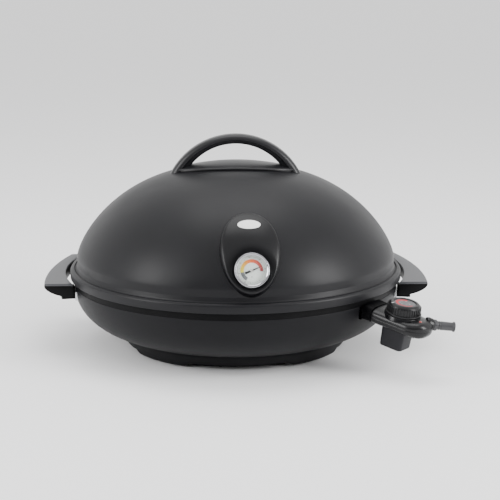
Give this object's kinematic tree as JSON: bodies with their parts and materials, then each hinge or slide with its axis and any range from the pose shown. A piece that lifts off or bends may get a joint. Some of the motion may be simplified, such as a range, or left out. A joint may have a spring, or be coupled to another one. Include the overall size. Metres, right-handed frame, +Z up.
{
  "type": "electric indoor grill",
  "caption": "Round electric grill with a ridged plate, a lift-off domed lid with a heat gauge, side handles and a plug-in heat controller.",
  "frame": {"origin": "on the table under the middle of the round base", "axes": "+Z up, -Y towards the front, where the gauge is, +X to the right of someone at the front"},
  "size_m": [0.5556, 0.4744, 0.301],
  "materials": {
    "phenolic": "matte charcoal",
    "rubber": "matte",
    "reflector": "satin",
    "steel": "satin",
    "handle_cover": "satin grey",
    "coated_plate": "matte non-stick coating",
    "element": "dull",
    "contact": "satin",
    "black_plastic": "satin",
    "coated_lid": "satin charcoal coating",
    "handle_plastic": "satin",
    "badge": "gloss",
    "bezel": "polished",
    "dial": "matte print",
    "lens": "clear",
    "needle": "matte",
    "switch": "matte",
    "lamp": "clear red",
    "knob_plastic": "satin",
    "label": "satin print"
  },
  "bodies": {
    "base": {"base_shell": "phenolic", "foot_pads": "rubber", "heat_reflector": "reflector", "reflector_screws": "steel", "drip_tray": "reflector", "grip_body_left": "phenolic", "grip_cover_left": "handle_cover", "grip_body_right": "phenolic", "grip_cover_right": "handle_cover", "grip_plates": "steel", "grip_screws": "steel"},
    "plate": {"grill_plate": "coated_plate", "heating_element": "element", "element_clips": "steel", "clip_screws": "steel", "terminal_pins": "contact", "plug_shroud": "black_plastic", "shroud_screws": "steel"},
    "lid": {"lid_shell": "coated_lid", "lid_handle": "handle_plastic", "handle_washers": "steel", "handle_screws": "steel", "gauge_housing": "black_plastic", "gauge_badge": "badge", "housing_screws": "steel", "gauge_case": "steel", "gauge_bezel": "bezel", "gauge_dial": "dial", "gauge_lens": "lens", "gauge_nut": "steel"},
    "needle": {"gauge_needle": "needle"},
    "controller": {"controller_upper": "black_plastic", "controller_lower": "black_plastic", "controller_box": "black_plastic", "controller_screws": "steel", "probe": "steel", "contact_sockets": "contact", "thermostat_switch": "switch", "pilot_lamp": "lamp", "strain_relief": "rubber"},
    "knob": {"knob": "knob_plastic", "knob_label": "label", "knob_spindle": "steel"}
  },
  "joints": [
    {"name": "plate_lift", "type": "slide", "parent": "base", "child": "plate", "axis": [0, 0, 1], "range_m": [0, 0.1]},
    {"name": "lid_lift", "type": "slide", "parent": "plate", "child": "lid", "axis": [0, 0, 1], "range_m": [0, 0.25]},
    {"name": "needle_turn", "type": "hinge", "parent": "lid", "child": "needle", "pos_m": [0.01534, -0.23099, 0.1572], "axis": [0.0623, -0.9376, 0.342], "range_deg": [-25, 215]},
    {"name": "controller_pull", "type": "slide", "parent": "plate", "child": "controller", "axis": [0.7544, -0.633, -0.1736], "range_m": [0, 0.1]},
    {"name": "knob_turn", "type": "hinge", "parent": "controller", "child": "knob", "pos_m": [0.21633, -0.18152, 0.08565], "axis": [0.133, -0.1116, 0.9848], "range_deg": [-270, 0]}
  ]
}
